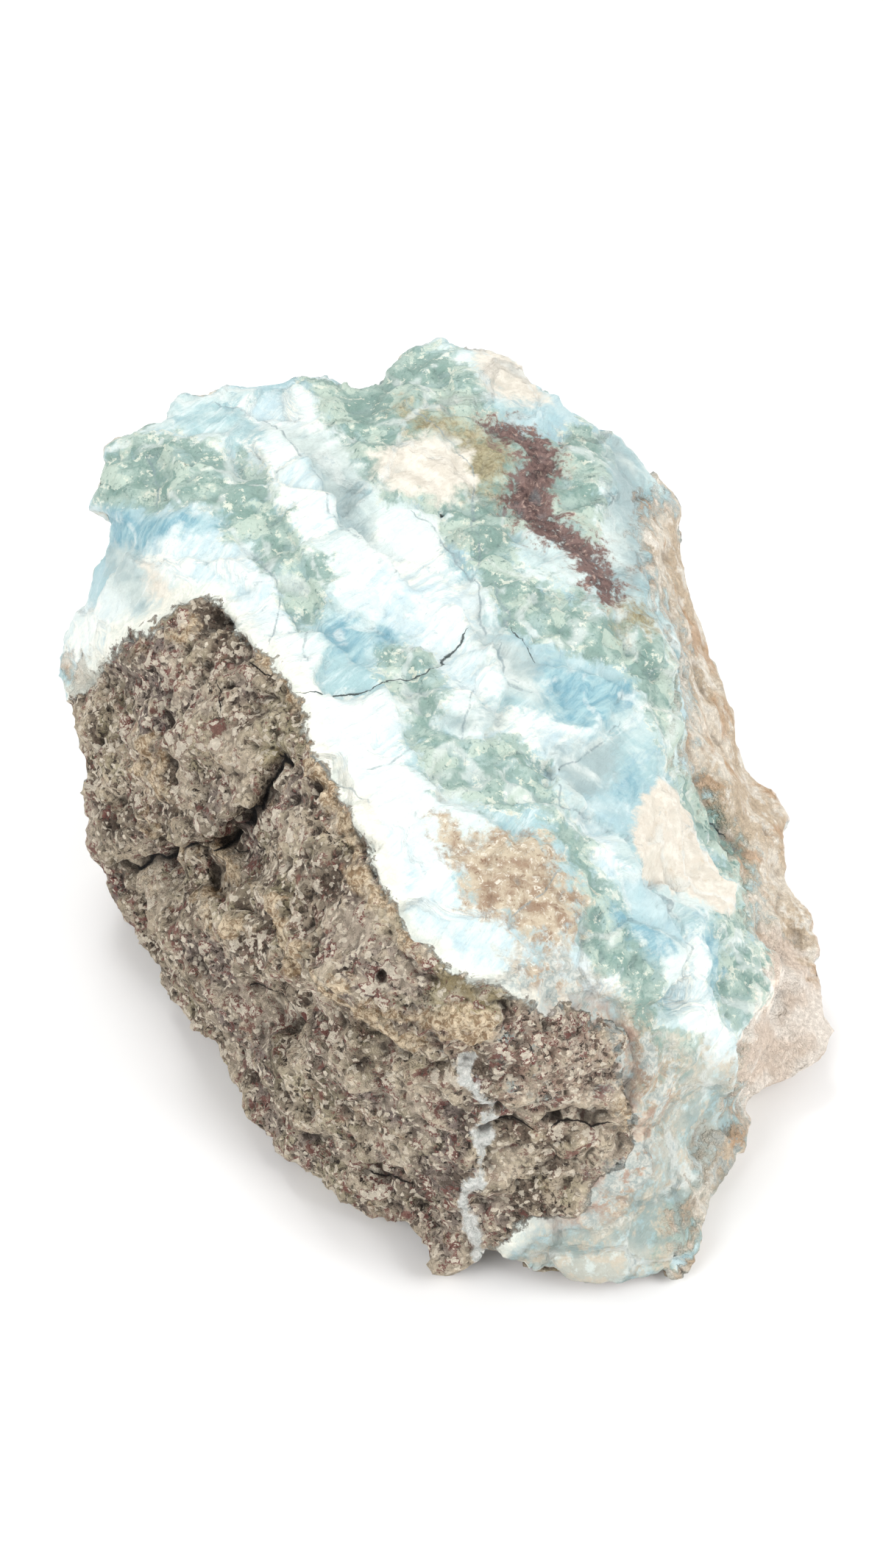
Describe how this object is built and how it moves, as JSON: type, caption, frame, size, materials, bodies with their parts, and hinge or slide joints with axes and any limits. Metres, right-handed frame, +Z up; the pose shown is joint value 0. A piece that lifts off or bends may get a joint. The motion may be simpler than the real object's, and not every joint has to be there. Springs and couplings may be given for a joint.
{
  "type": "rough larimar stone in basalt matrix",
  "caption": "Rough chunk of banded pale blue and green larimar, with brown basalt matrix down its left and front and a flat underside it rests on.",
  "frame": {"origin": "centre of the bounding box in plan, on the flat underside", "axes": "+X to the right in the picture, +Y away from the viewer, +Z up"},
  "size_m": [0.0836, 0.103, 0.0453],
  "materials": {
    "larimar_in_basalt": "silky broken pectolite with rough matrix"
  },
  "bodies": {
    "root": {"larimar_stone": "larimar_in_basalt"}
  },
  "joints": []
}
